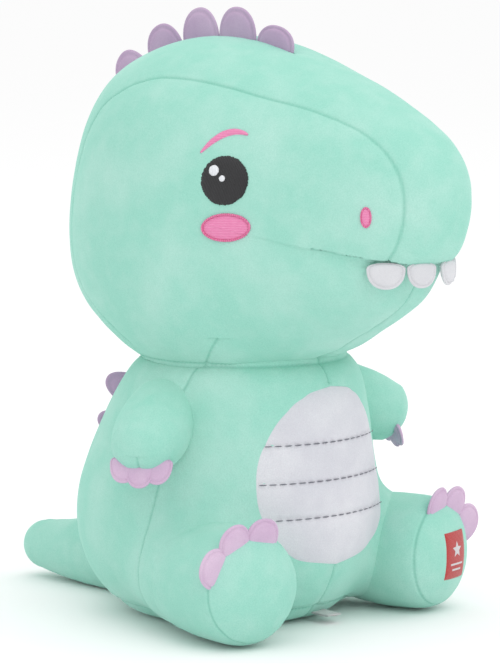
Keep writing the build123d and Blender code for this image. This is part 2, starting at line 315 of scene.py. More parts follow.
LEG_TIP = 56.0
ARM_TIP = 51.0
SOLE_SEAM = 46.0


def leg_shape(name):
    """Pivot, direction and field of a leg, which lies level."""
    pivot = joint_pivot(f"leg_{name}_lift")
    along = unit([*(from_box(f"leg_{name}_sole") - pivot)[:2], 0])
    stations = (0, 12, 24, 36, 44, 50)
    radii = (32.0, 33, 33, 32.6, 31.2, 28.5)
    return pivot, along, capsule_field(pivot, along, stations, radii, LEG_TIP, flat=8.0)


def arm_shape(name):
    """Pivot, direction and field of an arm."""
    pivot = joint_pivot(f"arm_{name}_raise")
    along = unit(from_box(f"arm_{name}_panel") - pivot)
    stations = (0, 14, 30, 42)
    radii = (20.5, 21.5, 20.5, 17.5)
    return pivot, along, capsule_field(pivot, along, stations, radii, ARM_TIP, flat=9.0)


def tail_field(p):
    """Cone that rests on the floor and lifts a little towards its round tip."""
    start, end = TAIL_START, TAIL_END
    t = np.clip((p[:, 1] - start) / (end - start), 0, 1)
    lift = 25 - 11 * t + 5 * t ** 3
    radius = 26 - 10.5 * t ** 1.1
    away = np.hypot(p[:, 0], p[:, 2] - lift)
    front = np.hypot(away, np.minimum(p[:, 1] - start, 0)) - radius
    tip = np.hypot(away, np.maximum(p[:, 1] - end, 0)) - radius
    inside = np.where(p[:, 1] < start, front, np.where(p[:, 1] > end, tip, away - radius))
    return np.maximum(inside, 0.8 - p[:, 2])


TAIL_START = float(joint_pivot("tail_wag")[1])
TAIL_END = float(node_box("tail_filling")[1][1]) - 6.0


# ------------------------------------------------------------------ seams: (distance away, distance along)

gusset_half_width = smooth_table([(110, 62), (0, 61), (-50, 51), (-95, 37.5), (-125, 30.5), (-165, 27)])


def gusset_seam(p):
    line = gusset_half_width(p[:, 1])
    along = np.degrees(np.arctan2(p[:, 2] - HEAD_HUB[1], p[:, 1] - HEAD_HUB[0])) * 2.2
    jaw = (p[:, 2] < 212) & (p[:, 1] < 20)
    return np.where(jaw, FAR_FROM_SEAM, np.abs(np.abs(p[:, 0]) - line)), along


def chin_seam(p):
    under = (p[:, 2] < 213) & (p[:, 1] < -40)
    return np.where(under, np.abs(p[:, 0]), FAR_FROM_SEAM), p[:, 1]


def crown_seam(p):
    behind = (p[:, 1] > -48) & (p[:, 2] > 150)
    return np.where(behind, np.abs(p[:, 0]), FAR_FROM_SEAM), p[:, 1] + p[:, 2]


def mouth_seam(p):
    """Fold where the lip meets the lower jaw, running back along the cheek."""
    y, z = p[:, 1] - HEAD_HUB[0], p[:, 2] - HEAD_HUB[1]
    turn = np.degrees(np.arctan2(z, y)) % 360
    size = np.hypot(y, z)
    shown = (y < 0) & (size > 84)
    return np.where(shown, np.radians(np.abs(turn - MOUTH_TURN)) * size, FAR_FROM_SEAM), size


def jaw_dart(p):
    near = (p[:, 2] < 168) & (np.abs(p[:, 0]) > 20)
    return np.where(near, np.abs(p[:, 1] + 30 + 0.9 * (p[:, 2] - 151)), FAR_FROM_SEAM), p[:, 2]


def torso_side_seam(p):
    line = np.abs(p[:, 1] + 24 - 0.10 * (150 - p[:, 2]))
    return np.where(np.abs(p[:, 0]) > 25, line, FAR_FROM_SEAM), p[:, 2]


def torso_middle_seam(p):
    shown = (p[:, 1] > 0) | (p[:, 2] < 36) | (p[:, 2] > 139)
    return np.where(shown, np.abs(p[:, 0]), FAR_FROM_SEAM), p[:, 2]


def neck_seam(p):
    return np.abs(p[:, 2] - NECK_Z), np.arctan2(p[:, 1] + 7, p[:, 0]) * 60


def base_seam(p):
    ring = np.where(p[:, 2] < 12, np.abs(np.hypot(p[:, 0], p[:, 1] - 4) - 67), FAR_FROM_SEAM)
    return ring, np.arctan2(p[:, 1], p[:, 0]) * 67


def ring_seam(pivot, along, station):
    def seam(p):
        offset = p - pivot
        down = offset @ along
        side = unit(np.cross(along, UP))
        return np.abs(down - station), np.arctan2(offset @ side, offset[:, 2]) * 30
    return seam


def flank_seam(pivot, along, normal, until):
    """Seam along a limb, where the plane with this normal through its middle cuts one side."""
    def seam(p):
        offset = p - pivot
        down = offset @ along
        upper = offset @ np.cross(along, normal)
        shown = (upper > 0) & (down < until)
        return np.where(shown, np.abs(offset @ normal), FAR_FROM_SEAM), down
    return seam


# ------------------------------------------------------------------ materials

def shader(name):
    material = bpy.data.materials.new(name)
    material.use_nodes = True
    tree = material.node_tree
    return material, tree, tree.nodes["Principled BSDF"]


def link(tree, *pairs):
    for source, target in pairs:
        tree.links.new(source, target)


def noise(tree, coordinates, scale, detail=2.0):
    node = tree.nodes.new("ShaderNodeTexNoise")
    node.inputs["Scale"].default_value = scale
    node.inputs["Detail"].default_value = detail
    tree.links.new(coordinates, node.inputs["Vector"])
    return node.outputs["Fac"]


def blended(tree, factor, first, second):
    node = tree.nodes.new("ShaderNodeMix")
    node.data_type = "RGBA"
    for socket, value in ((node.inputs["A"], first), (node.inputs["B"], second)):
        if isinstance(value, tuple):
            socket.default_value = (*value, 1.0)
        else:
            tree.links.new(value, socket)
    tree.links.new(factor, node.inputs["Factor"])
    return node.outputs["Result"]


def stretched(tree, value, low, high, top=1.0):
    node = tree.nodes.new("ShaderNodeMapRange")
    node.inputs["From Min"].default_value = low
    node.inputs["From Max"].default_value = high
    node.inputs["To Max"].default_value = top
    tree.links.new(value, node.inputs["Value"])
    return node.outputs["Result"]


def velour(name, base, pale, deep, sheen=0.5, pile=1.0):
    """Short dense pile: nap patches brushed paler, fine fibre grain, and painted shade darkening the seam
    creases.
    """
    material, tree, surface = shader(name)
    place = tree.nodes.new("ShaderNodeTexCoord").outputs["Object"]
    nap = stretched(tree, noise(tree, place, 26.0, 3.0), 0.42, 0.72, 0.75)
    streak = stretched(tree, noise(tree, place, 95.0, 4.0), 0.45, 0.75, 0.35)
    grain = stretched(tree, noise(tree, place, 1500.0, 2.0), 0.30, 0.70, 0.22)
    colour = blended(tree, nap, base, pale)
    colour = blended(tree, streak, colour, pale)
    colour = blended(tree, grain, colour, deep)
    # painted shade: the colour is pulled toward deep in the seam creases, following the seam mask
    seam = tree.nodes.new("ShaderNodeAttribute")
    seam.attribute_name = "seam"
    colour = blended(tree, stretched(tree, seam.outputs["Fac"], 0.2, 1.0, 0.42), colour, deep)
    bump = tree.nodes.new("ShaderNodeBump")
    bump.inputs["Distance"].default_value = 0.00035 * pile
    bump.inputs["Strength"].default_value = 0.55
    link(tree, (colour, surface.inputs["Base Color"]),
         (noise(tree, place, 1300.0, 3.0), bump.inputs["Height"]),
         (bump.outputs["Normal"], surface.inputs["Normal"]))
    surface.inputs["Roughness"].default_value = 0.92
    surface.inputs["Specular IOR Level"].default_value = 0.12
    surface.inputs["Sheen Weight"].default_value = sheen
    surface.inputs["Sheen Roughness"].default_value = 0.38
    surface.inputs["Sheen Tint"].default_value = (*pale, 1.0)
    surface.inputs["Subsurface Weight"].default_value = 0.0
    return material


def thread(name, base, shine, pitch=0.45, turn=0.0, gloss=0.45):
    """Satin stitch: fine parallel threads at the given pitch in millimetres."""
    material, tree, surface = shader(name)
    place = tree.nodes.new("ShaderNodeUVMap")
    place.uv_map = "cloth"
    rotate = tree.nodes.new("ShaderNodeMapping")
    rotate.inputs["Rotation"].default_value = (0, 0, turn)
    wave = tree.nodes.new("ShaderNodeTexWave")
    wave.inputs["Scale"].default_value = 1 / (pitch * MM) / 20 * pi
    wave.inputs["Distortion"].default_value = 0.6
    wave.inputs["Detail Scale"].default_value = 3.0
    link(tree, (place.outputs["UV"], rotate.inputs["Vector"]),
         (rotate.outputs["Vector"], wave.inputs["Vector"]))
    colour = blended(tree, stretched(tree, wave.outputs["Fac"], 0.35, 1.0, 0.8), base, shine)
    uneven = stretched(tree, noise(tree, rotate.outputs["Vector"], 420.0, 2.0), 0.4, 0.7, 0.5)
    colour = blended(tree, uneven, colour, base)
    bump = tree.nodes.new("ShaderNodeBump")
    bump.inputs["Distance"].default_value = 0.00025
    bump.inputs["Strength"].default_value = 0.8
    link(tree, (colour, surface.inputs["Base Color"]), (wave.outputs["Fac"], bump.inputs["Height"]),
         (bump.outputs["Normal"], surface.inputs["Normal"]))
    surface.inputs["Roughness"].default_value = gloss
    surface.inputs["Sheen Weight"].default_value = 0.15
    return material


def woven(name, base, dark):
    """Ribbon: warp and weft a third of a millimetre apart."""
    material, tree, surface = shader(name)
    place = tree.nodes.new("ShaderNodeUVMap")
    place.uv_map = "cloth"
    heights = []
    for direction in ("X", "Y"):
        wave = tree.nodes.new("ShaderNodeTexWave")
        wave.bands_direction = direction
        wave.inputs["Scale"].default_value = 1 / (0.34 * MM) / 20 * pi
        tree.links.new(place.outputs["UV"], wave.inputs["Vector"])
        heights.append(wave.outputs["Fac"])
    both = tree.nodes.new("ShaderNodeMath")
    both.operation = "MULTIPLY"
    link(tree, (heights[0], both.inputs[0]), (heights[1], both.inputs[1]))
    colour = blended(tree, both.outputs["Value"], dark, base)
    bump = tree.nodes.new("ShaderNodeBump")
    bump.inputs["Distance"].default_value = 0.0002
    link(tree, (colour, surface.inputs["Base Color"]), (both.outputs["Value"], bump.inputs["Height"]),
         (bump.outputs["Normal"], surface.inputs["Normal"]))
    surface.inputs["Roughness"].default_value = 0.5
    surface.inputs["Sheen Weight"].default_value = 0.3
    return material


MINT = velour("mint_velour", (0.335, 0.665, 0.560), (0.470, 0.730, 0.650), (0.130, 0.420, 0.320))
BELLY = velour("belly_velour", (0.640, 0.635, 0.685), (0.760, 0.755, 0.790), (0.420, 0.410, 0.470))
LILAC = velour("lilac_plush", (0.470, 0.345, 0.500), (0.600, 0.470, 0.620), (0.330, 0.220, 0.350))
CLAW = velour("claw_plush", (0.600, 0.430, 0.595), (0.720, 0.560, 0.700), (0.430, 0.290, 0.430))
TOOTH = velour("tooth_plush", (0.610, 0.610, 0.640), (0.720, 0.720, 0.740), (0.480, 0.480, 0.530))
BLACK = thread("black_thread", (0.003, 0.003, 0.004), (0.016, 0.016, 0.020), turn=0.25)
WHITE = thread("white_thread", (0.72, 0.74, 0.78), (0.92, 0.93, 0.95))
PINK = thread("pink_thread", (0.760, 0.190, 0.400), (0.880, 0.350, 0.560), turn=pi / 2)
ROSE = thread("rose_thread", (0.640, 0.110, 0.270), (0.820, 0.260, 0.450), pitch=0.6)
GREY = thread("grey_thread", (0.170, 0.170, 0.210), (0.330, 0.330, 0.390), pitch=0.5)
RED = woven("red_ribbon", (0.640, 0.022, 0.018), (0.430, 0.012, 0.012))
PALE = woven("pale_ribbon", (0.83, 0.80, 0.80), (0.62, 0.58, 0.60))


# ------------------------------------------------------------------ stuffed skins

def dress(item, material, *nodes):
    item.data.materials.append(material)
    if nodes:
        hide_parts(*nodes)
    return item


torso = stuffed("torso_skin", torso_field, (0, 0, 72), 160, 170,
                [torso_side_seam, torso_middle_seam, neck_seam, base_seam], 11)
dress(torso, MINT, "torso_front_right_panel", "torso_front_left_panel", "torso_back_right_panel",
      "torso_back_left_panel", "torso_base_panel", "torso_filling")
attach(torso, "torso")

head = stuffed("head_skin", head_field, (0, -15, 236), 220, 230,
               [gusset_seam, chin_seam, crown_seam, neck_seam, jaw_dart, mouth_seam], 23)
dress(head, MINT, "head_gusset", "head_side_right", "head_side_left", "head_filling")
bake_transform(head)

limbs = {}
for name, side in SIDES:
    pivot, along, field = leg_shape(name)
    limbs[f"leg_{name}"] = (pivot, along, field)
    leg = stuffed(f"leg_{name}_skin", field, pivot + along * 20, 90, 90,
                  [ring_seam(pivot, along, SOLE_SEAM)], 31 + side, 1.0, sharp=0.5, soft=0.5)
    dress(leg, MINT, f"leg_{name}_panel", f"leg_{name}_sole", f"leg_{name}_filling")
    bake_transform(leg)

    pivot, along, field = arm_shape(name)
    limbs[f"arm_{name}"] = (pivot, along, field)
    across = unit(np.cross(along, UP)) * -side
    arm = stuffed(f"arm_{name}_skin", field, pivot + along * 14, 70, 70,
                  [flank_seam(pivot, along, across, ARM_TIP + 5)], 41 + side, 0.8, sharp=0.5, soft=0.6)
    dress(arm, MINT, f"arm_{name}_panel", f"arm_{name}_filling")
    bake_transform(arm)


def tail_seam(p):
    return np.abs(p[:, 0]), p[:, 1]


tail = stuffed("tail_skin", tail_field, (0, 115, 24), 110, 90, [tail_seam], 53)
dress(tail, MINT, "tail_right_panel", "tail_left_panel", "tail_filling")
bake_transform(tail)


# ------------------------------------------------------------------ pads that follow a skin

def face_frame(centre, normal):
    """Right, up and out axes of a pad on the right of the head."""
    out = unit(normal)
    right = unit(np.cross(UP, out))
    return np.asarray(centre, float), right, np.cross(out, right), out


def pad(name, field, base, outline, height, rings=22, crown=0.5, back=-1.2, relief=None, near=-40, far=40):
    """Raise a flat star-shaped outline off a skin, met between near and far, with a closed back."""
    centre, right, up, out = base
    hub = outline.mean(axis=0)
    count = len(outline)
    shares = 1 - (1 - np.linspace(0, 1, rings + 1)[1:]) ** 1.5
    flat = [hub[None, :]] + [hub + (outline - hub) * s for s in shares]
    flat = np.concatenate(flat)
    share = np.concatenate([[0.0], np.repeat(shares, count)])
    world = centre + flat[:, :1] * right + flat[:, 1:] * up
    ground = meet(field, world, np.broadcast_to(out, world.shape).copy(), near, far)
    lift = height * (1 - share ** 7) ** 0.5 + crown * (1 - share ** 2)
    if relief is not None:
        lift = lift + relief(ground, share)
    top = ground + normals_of(field, ground) * lift[:, None]
    under = ground + normals_of(field, ground) * back
    total = len(flat)
    faces = []
    for base_index, flip in ((0, False), (total, True)):
        for k in range(count):
            n = (k + 1) % count
            tri = (base_index, base_index + 1 + k, base_index + 1 + n)
            faces.append(tri[::-1] if flip else tri)
        for ring in range(rings - 1):
            a = base_index + 1 + ring * count
            b = a + count
            for k in range(count):
                n = (k + 1) % count
                quad = (a + k, b + k, b + n, a + n)
                faces.append(quad[::-1] if flip else quad)
    rim = 1 + (rings - 1) * count
    for k in range(count):
        n = (k + 1) % count
        faces.append((rim + k, total + rim + k, total + rim + n, rim + n))
    uv = np.concatenate([flat, flat])
    return mesh_object(name, np.concatenate([top, under]), faces, uv=uv)


def ellipse(half_x, half_y, centre=(0, 0), count=120, jag=0.0, seed=1):
    turn = np.linspace(0, 2 * pi, count, endpoint=False)
    rough = 1 + jag * np.random.default_rng(seed).uniform(-1, 1, count)
    ring = np.stack([half_x * rough * np.cos(turn), half_y * rough * np.sin(turn)], -1)
    return ring + np.asarray(centre)


def crescent(left, top, right, thick, jag=0.0, count=60):
    """Upper and lower edge of an arched brow through three points, thickest in the middle."""
    t = np.linspace(0, 1, count)
    left, top, right = (np.asarray(q, float) for q in (left, top, right))
    handle = 2 * top - (left + right) / 2
    curve = (1 - t)[:, None] ** 2 * left + 2 * (t * (1 - t))[:, None] * handle + t[:, None] ** 2 * right
    slope = np.gradient(curve, axis=0)
    side = np.stack([-slope[:, 1], slope[:, 0]], -1) / np.linalg.norm(slope, axis=1)[:, None]
    width = thick * (0.22 + 0.78 * np.sin(pi * t) ** 0.7) / 2
    rough = 1 + jag * np.random.default_rng(5).uniform(-1, 1, count)
    upper = curve + side * (width * rough)[:, None]
    lower = curve - side * width[:, None]
    return upper, lower


def ribbon_pad(name, field, base, upper, lower, height):
    """A narrow raised strip between two edges, five points across, closed underneath."""
    centre, right, up, out = base
    across = np.array([0, 0.15, 0.5, 0.85, 1.0])
    lifts = np.array([-0.8, height * 0.8, height * 1.15, height * 0.8, -0.8])
    flat = upper[:, None, :] * (1 - across)[None, :, None] + lower[:, None, :] * across[None, :, None]
    count = len(upper)
    flat = flat.reshape(-1, 2)
    world = centre + flat[:, :1] * right + flat[:, 1:] * up
    ground = meet(field, world, np.broadcast_to(out, world.shape).copy(), -40, 40)
    points = ground + normals_of(field, ground) * np.tile(lifts, count)[:, None]
    faces = []
    for row in range(count - 1):
        for k in range(5):
            a, b = row * 5 + k, row * 5 + (k + 1) % 5
            faces.append((a, b, b + 5, a + 5))
    faces.append((4, 3, 2, 1, 0))
    last = (count - 1) * 5
    faces.append((last, last + 1, last + 2, last + 3, last + 4))
    return mesh_object(name, points, faces, uv=flat)


# ------------------------------------------------------------------ face

def mirrored(item, name):
    """The left twin of a piece made on the right."""
    twin = item.copy()
    twin.data = item.data.copy()
    twin.name = name
    twin.data.name = name
    bpy.context.scene.collection.objects.link(twin)
    points = np.zeros(len(twin.data.vertices) * 3)
    twin.data.vertices.foreach_get("co", points)
    points = points.reshape(-1, 3) * (-1, 1, 1)
    twin.data.vertices.foreach_set("co", points.ravel())
    twin.data.flip_normals()
    return twin


def pair(item, stem, material, body="head", node_stem=None):
    """Finish a right-hand piece, make its left twin and hang both on their body."""
    item.data.materials.append(material)
    twin = mirrored(item, f"{stem}_left")
    for piece, name in ((item, "right"), (twin, "left")):
        if node_stem:
            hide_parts(f"{node_stem}_{name}")
        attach(piece, body)
    return item, twin


EYE = face_frame(from_box("eye_right") + (0, -2.5, -5.0), (-0.80, -0.56, 0.20))
EYE_RADIUS = 13.7
NOSE = face_frame(from_box("nostril_right") + (0, 7.0, -3.5), (-0.85, -0.52, 0.0))

eye = pad("eye_right", head_field, EYE, ellipse(EYE_RADIUS, EYE_RADIUS, jag=0.022, count=150), 0.9)
pair(eye, "eye", BLACK, node_stem="eye")
large_outline = ellipse(3.2, 3.3, (-5.8, 5.4), jag=0.05, count=60)
large = pad("eye_glint_large_right", head_field, EYE, large_outline, 1.6, rings=8)
pair(large, "eye_glint_large", WHITE, node_stem="eye_glint_large")
small_outline = ellipse(1.95, 2.0, (-0.9, 0.9), jag=0.06, count=48)
small = pad("eye_glint_small_right", head_field, EYE, small_outline, 1.7, rings=7)
pair(small, "eye_glint_small", WHITE, node_stem="eye_glint_small")

upper, lower = crescent((-14.3, 15.6), (-0.5, 26.2), (12.4, 25.4), 4.8, jag=0.06)
brow = ribbon_pad("brow_right", head_field, EYE, upper, lower, 0.8)
pair(brow, "brow", PINK, node_stem="brow")

CHEEK_CENTRE = (1.1, -25.8)
cheek = pad("cheek_right", head_field, EYE, ellipse(13.3, 6.7, CHEEK_CENTRE, jag=0.01), 0.7)
pair(cheek, "cheek", PINK, node_stem="cheek")


def border(name, base, half_x, half_y, centre, width, height):
    """Satin border round an ellipse, its threads lying across the edge."""
    turn = np.linspace(0, 2 * pi, 160)
    rough = 1 + 0.012 * np.random.default_rng(9).uniform(-1, 1, len(turn))
    rough[-1] = rough[0]
    ring = np.stack([np.cos(turn), np.sin(turn)], -1)
    outside = np.asarray(centre) + ring * rough[:, None] * (half_x + width / 2, half_y + width / 2)
    inside = np.asarray(centre) + ring * (half_x - width / 2, half_y - width / 2)
    return ribbon_pad(name, head_field, base, outside, inside, height)


cheek_border = border("cheek_border_right", EYE, 13.7, 7.1, CHEEK_CENTRE, 1.5, 1.1)
pair(cheek_border, "cheek_border", ROSE)
nostril = pad("nostril_right", head_field, NOSE, ellipse(2.6, 5.2, jag=0.03, count=80), 0.6, rings=10)
pair(nostril, "nostril", PINK, node_stem="nostril")
nostril_border = border("nostril_border_right", NOSE, 2.7, 5.3, (0, 0), 1.2, 0.9)
pair(nostril_border, "nostril_border", ROSE)


# ------------------------------------------------------------------ turned lobes: crest, claws, teeth

def lobe(points_of, half_width, height, thickness, rings=16, count=56, rim=0.86, power=2.2, foot=0.30):
    """A two-layer lobe, turned and stitched round its rim, in its own (across, up, through) axes."""
    turn = np.linspace(0, 2 * pi, count, endpoint=False)
    across = half_width * np.sign(np.cos(turn)) * np.abs(np.cos(turn)) ** (2 / power)
    rise = np.where(np.sin(turn) > 0, height, height * foot) * np.sign(np.sin(turn))
    rise = rise * np.abs(np.sin(turn)) ** (2 / power)
    outline = np.stack([across, rise], -1)
    shares = 1 - (1 - np.linspace(0, 1, rings + 1)[1:]) ** 1.4
    flat = np.concatenate([[(0.0, 0.0)]] + [outline * s for s in shares])
    share = np.concatenate([[0.0], np.repeat(shares, count)])
    puff = thickness / 2 * (1 - share ** 5) ** 0.5 * (0.72 + 0.28 * (1 - share ** 2))
    puff = puff - 0.16 * thickness * np.exp(-(((share - rim) / 0.045) ** 2))
    puff = np.maximum(puff, 0)
    front = np.column_stack([flat, puff])
    behind = np.column_stack([flat, -puff])
    total = len(flat)
    faces = []
    for start, flip in ((0, False), (total, True)):
        for k in range(count):
            n = (k + 1) % count
            tri = (start, start + 1 + k, start + 1 + n)
            faces.append(tri[::-1] if flip else tri)
        for ring in range(rings - 1):
            a = start + 1 + ring * count
            b = a + count
            for k in range(count):
                n = (k + 1) % count
                quad = (a + k, b + k, b + n, a + n)
                if ring == rings - 2:
                    rim_start = total + 1 + (rings - 1) * count
                    quad = tuple(i - total if i >= rim_start else i for i in quad)
                faces.append(quad[::-1] if flip else quad)
    shape = np.concatenate([front, behind])
    return points_of(shape), faces, shape[:, :2]


def placed(origin, across, up):
    """Puts lobe axes into the frame."""
    origin, across = np.asarray(origin, float), unit(across)
    up = unit(np.asarray(up, float) - across * (np.asarray(up, float) @ across))
    through = np.cross(across, up)
    return lambda shape: origin + shape[:, :1] * across + shape[:, 1:2] * up + shape[:, 2:] * through


def clean(item):
    """Drop points no face uses."""
    work = bmesh.new()
    work.from_mesh(item.data)
    loose = [v for v in work.verts if not v.link_faces]
    bmesh.ops.delete(work, geom=loose, context="VERTS")
    bmesh.ops.recalc_face_normals(work, faces=work.faces)
    work.to_mesh(item.data)
    work.free()
    item.data.shade_smooth()
    return item


def lobes(name, specs):
    """One object from several lobes, each (origin, across, up, half width, height, thickness)."""
    points, faces, uv, start = [], [], [], 0
    for origin, across, up, half_width, height, thickness in specs:
        p, f, u = lobe(placed(origin, across, up), half_width, height, thickness)
        points.append(p)
        uv.append(u)
        faces += [tuple(i + start for i in face) for face in f]
        start += len(p)
    return clean(mesh_object(name, np.concatenate(points), faces, uv=np.concatenate(uv)))


def outline_foot(field, hub, direction, reach=160):
    """Where a ray from inside meets the skin."""
    return meet(field, np.asarray([hub], float), unit(direction)[None, :], 0, reach)[0]


CREST_HUB = (0, 7, 236)
CREST_FIRST, CREST_STEP = -22.0, 17.4
CREST_HEIGHTS = (12.0, 17.5, 18.5, 18.0, 22.0, 18.5, 17.5, 17.0)
for count, tall in enumerate(CREST_HEIGHTS):
    turn = radians(CREST_FIRST + CREST_STEP * count)
    foot = outline_foot(head_field, CREST_HUB, (0, sin(turn), cos(turn)))
    out = normals_of(head_field, foot[None, :])[0]
    out[0] = 0
    along = np.cross((1, 0, 0), out)
    rise = out + (0.04 * (-1) ** count, 0, 0)
    spike = lobes(f"crest_head_{count + 1}", [(foot - out, along + 0.04 * UP, rise, 14.6, tall, 4.6)])
    dress(spike, LILAC, f"head_spike_{count + 1}")
    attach(spike, "head")

BACK_LOBE_HEIGHTS = (14.0, 27.0, 24.0)
for count, tall in enumerate(BACK_LOBE_HEIGHTS, start=1):
    low, high = node_box(f"back_spike_{count}")
    foot_z = (low[2] + high[2]) / 2
    foot = outline_foot(torso_field, (0, 0, foot_z), (0, 1, 0))
    half = (high[2] - low[2]) / 2
    out = normals_of(torso_field, foot[None, :])[0]
    lean = out + (-0.55, 0, 0)
    spike = lobes(f"crest_back_{count}", [(foot - out, np.cross((1, 0, 0), out), lean, half, tall, 4.2)])
    dress(spike, LILAC, f"back_spike_{count}")
    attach(spike, "torso")

# Each tooth: how it faces, half width and drop
TEETH = {"tooth_inner": ((-0.35, -0.94, 0), 9.0, 11.0), "tooth_outer": ((-0.72, -0.69, 0), 10.8, 11.4)}
LIP_HEIGHT, TOOTH_ROOT_HEIGHT = 216.0, 211.5
for stem, (facing, half_width, drop) in TEETH.items():
    centre = from_box(f"{stem}_right")
    out = unit(facing)
    root = np.array([centre[0] * 0.82, centre[1] + 6, LIP_HEIGHT])
    root = outline_foot(head_field, root - out * 40, out, 80)
    root = root - out * 3.4
    root[2] = TOOTH_ROOT_HEIGHT
    hang = -UP + out * 0.06
    tooth = lobes(f"{stem}_right_plush", [(root, np.cross(UP, out), hang, half_width, drop, 5.4)])
    pair(tooth, f"{stem}_plush", TOOTH, node_stem=stem)


# ------------------------------------------------------------------ claws

for name, side in SIDES:
    pivot, along, field = limbs[f"leg_{name}"]
    outward = np.array([side * 1.0, 0, 0])
    outward = unit(outward - along * (outward @ along))
    specs = []
    for step, size in ((-1, 0.96), (0, 1.0), (1, 1.04)):
        turn = radians(25 + 36 * step)
        spoke = UP * cos(turn) + outward * sin(turn)
        hub = pivot + along * (SOLE_SEAM + 0.5)
        foot = outline_foot(field, hub, spoke, 60)
        tangent = outward * cos(turn) - UP * sin(turn)
        specs.append((foot - spoke * 2.0, tangent, spoke + along * 0.25, 11.2 * size, 13.0 * size, 5.0))
    claws = lobes(f"claws_leg_{name}", specs)
    dress(claws, CLAW, f"leg_{name}_claws")
    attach(claws, f"leg_{name}")

    pivot, along, field = limbs[f"arm_{name}"]
    across = unit(np.cross(along, UP))
    specs = []
    for step in (-1, 0, 1):
        ray = along * 0.62 - UP * 0.62 + across * 0.62 * step
        foot = outline_foot(field, pivot + along * 32, ray, 40)
        hang = unit(along * 0.42 - UP * 0.9 + across * 0.16 * step)
        specs.append((foot - hang * 3.0, across, hang, 8.6, 12.0, 4.4))
    claws = lobes(f"claws_arm_{name}", specs)
    dress(claws, CLAW, f"arm_{name}_claws")
    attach(claws, f"arm_{name}")


# ------------------------------------------------------------------ belly patch and its quilting

PATCH_MIDDLE = 82.0
BELLY_FACE = (np.array([0.0, 0.0, PATCH_MIDDLE]), np.array([1.0, 0, 0]), UP, np.array([0, -1.0, 0]))
STITCH_PITCH = 5.9
STITCH_LENGTH = 4.8
ROWS = [(from_box(f"belly_stitch_row_{row}")[2], row) for row in (1, 2, 3)]


def belly_outline(count=220):
    """Egg-shaped outline, widest below the middle, from a smooth curve of half widths."""
    low, high = node_box("belly_patch")
    top, bottom = high[2], low[2]
    half = smooth_table([(0, 0), (0.012, 10), (0.05, 21), (0.13, 32), (0.30, 44), (0.5, 49.5), (0.7, 49),
                         (0.82, 44), (0.91, 34.5), (0.97, 20), (1.0, 0)])
    share = (1 - np.cos(np.linspace(0, pi, count // 2))) / 2
    heights = top - share * (top - bottom)
    widths = half(share)
    left = np.stack([-widths, heights - PATCH_MIDDLE], -1)
    right = np.stack([widths, heights - PATCH_MIDDLE], -1)[::-1]
    return np.concatenate([right[:-1], left[:-1]])[::-1]


def quilting(ground, share):
    """Rows of stitches pull the patch down between soft rolls."""
    drop = np.zeros(len(ground))
    for height, _ in ROWS:
        away = ground[:, 2] - height - 0.0025 * ground[:, 0] ** 2 / 8
        pucker = 1 + 0.25 * np.sin(ground[:, 0] * 2 * pi / STITCH_PITCH)
        drop += 0.75 * np.exp(-((away / 1.3) ** 2)) * pucker + 0.6 * np.exp(-((away / 5.0) ** 2))
    return -drop * (1 - share ** 12)


patch = pad("belly_patch_sheet", torso_field, BELLY_FACE, belly_outline(), 1.3, rings=int(60 * DETAIL),
            crown=1.5, back=-1.0, relief=quilting, near=0, far=140)
dress(patch, BELLY, "belly_patch")
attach(patch, "torso")


def stitch(origin, along, out, length, width, height):
    """One short thread, rounded at both ends, seven rings of eight points."""
    side = np.cross(along, out)
    stations = np.linspace(-1, 1, 7)
    girth = np.sqrt(np.clip(1 - np.abs(stations) ** 3, 0.02, 1))
    turn = np.linspace(0, 2 * pi, 8, endpoint=False)
    points = []
    for station, size in zip(stations, girth):
        bow = out * height * (1 - station ** 2) * 0.6
        ring = np.outer(np.cos(turn), side) * width * size + np.outer(np.sin(turn), out) * width * 0.8 * size
        points.append(origin + along * station * length / 2 + bow + ring)
    faces = [tuple(range(8))[::-1], tuple(range(48, 56))]
    for k in range(6):
        for j in range(8):
            n = (j + 1) % 8
            faces.append((k * 8 + j, k * 8 + n, k * 8 + 8 + n, k * 8 + 8 + j))
    return np.concatenate(points), faces, np.tile(turn[:, None], (7, 2))


for height, row in ROWS:
    low, high = node_box(f"belly_stitch_row_{row}")
    reach = (high[0] - low[0]) / 2 - 1.0
    line = np.arange(-reach, reach, 0.25)
    flat = np.stack([line, np.full_like(line, 0), np.full_like(line, height)], -1)
    ground = meet(torso_field, flat, np.tile((0, -1.0, 0), (len(line), 1)), -30, 120)
    out = normals_of(torso_field, ground)
    lengths = np.concatenate([[0], np.cumsum(np.linalg.norm(np.diff(ground, axis=0), axis=1))])
    points, faces, uv, start = [], [], [], 0
    for middle in np.arange(2.5, lengths[-1] - 2.0, STITCH_PITCH):
        k = min(np.searchsorted(lengths, middle), len(line) - 2)
        along = unit(ground[k + 1] - ground[k - 1])
        p, f, u = stitch(ground[k] + out[k] * 1.75, along, out[k], STITCH_LENGTH, 0.34, 0.35)
        points.append(p)
        uv.append(u)
        faces += [tuple(i + start for i in face) for face in f]
        start += len(p)
    thread_row = mesh_object(f"belly_thread_{row}", np.concatenate(points), faces, uv=np.concatenate(uv))
    dress(thread_row, GREY, f"belly_stitch_row_{row}")
    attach(thread_row, "torso")


# ------------------------------------------------------------------ sewn labels

leg_pivot, leg_along, leg_field = limbs["leg_left"]
label_right = unit(np.cross(UP, leg_along))
LABEL = (from_box("sole_label"), label_right, UP, leg_along)
LABEL_WIDTH, LABEL_HEIGHT = 21.0, 27.5


def rectangle(width, height, corner=0.8, count=34, centre=(0, 0)):
    edge = np.linspace(-1, 1, count, endpoint=False)
    w, h = width / 2, height / 2
    sides = [np.stack([edge * w, np.full(count, -h)], -1), np.stack([np.full(count, w), edge * h], -1),
             np.stack([-edge * w, np.full(count, h)], -1), np.stack([np.full(count, -w), -edge * h], -1)]
    outline = np.concatenate(sides)
    return outline + np.asarray(centre)


